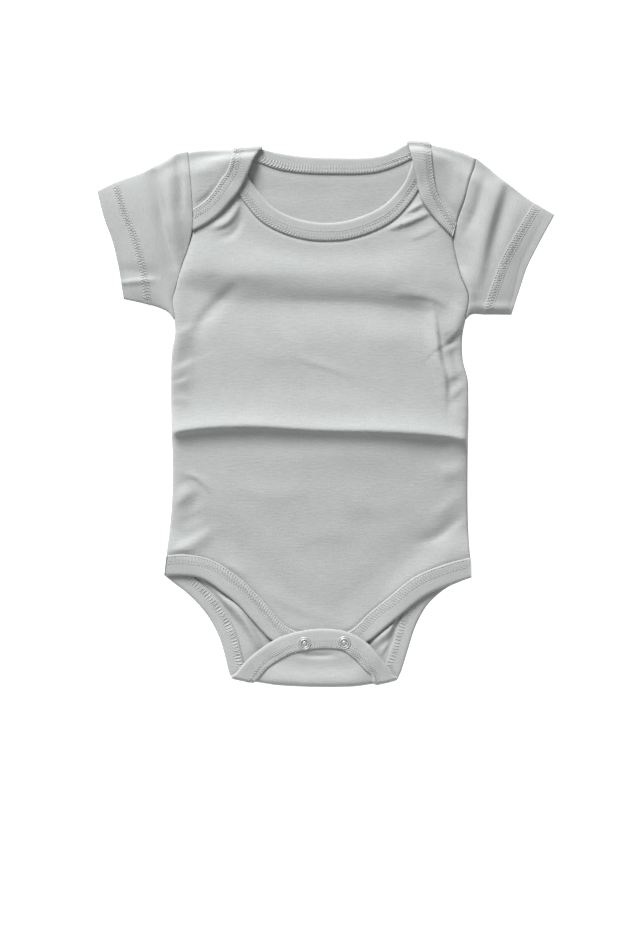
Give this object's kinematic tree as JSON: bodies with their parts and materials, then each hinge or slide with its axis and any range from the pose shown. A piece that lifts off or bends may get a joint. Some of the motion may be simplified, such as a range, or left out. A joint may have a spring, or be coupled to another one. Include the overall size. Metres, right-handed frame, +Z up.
{
  "type": "baby bodysuit laid flat",
  "caption": "Short-sleeved baby bodysuit with an envelope neck and a crotch tail that snaps shut, laid flat on its back.",
  "frame": {"origin": "middle of the bounding box in X and Y, on the surface that the garment lies on", "axes": "+X towards the wearer's left sleeve, +Y towards the neck, +Z up, away from the surface and out of the front"},
  "size_m": [0.3475, 0.4148, 0.0124],
  "materials": {
    "jersey": "light grey-white cotton jersey, matt",
    "rib": "fine cotton rib, matt",
    "metal": "nickel-coloured press snap"
  },
  "bodies": {
    "root": {"front_panel": "jersey", "back_panel": "jersey", "sleeve_left": "jersey", "sleeve_right": "jersey", "front_neck_binding": "rib", "back_neck_binding": "rib", "front_leg_binding": "rib", "back_leg_binding": "rib", "snap_cap_left": "metal", "snap_cap_right": "metal", "snap_stud_left": "metal", "snap_stud_right": "metal"}
  },
  "joints": []
}
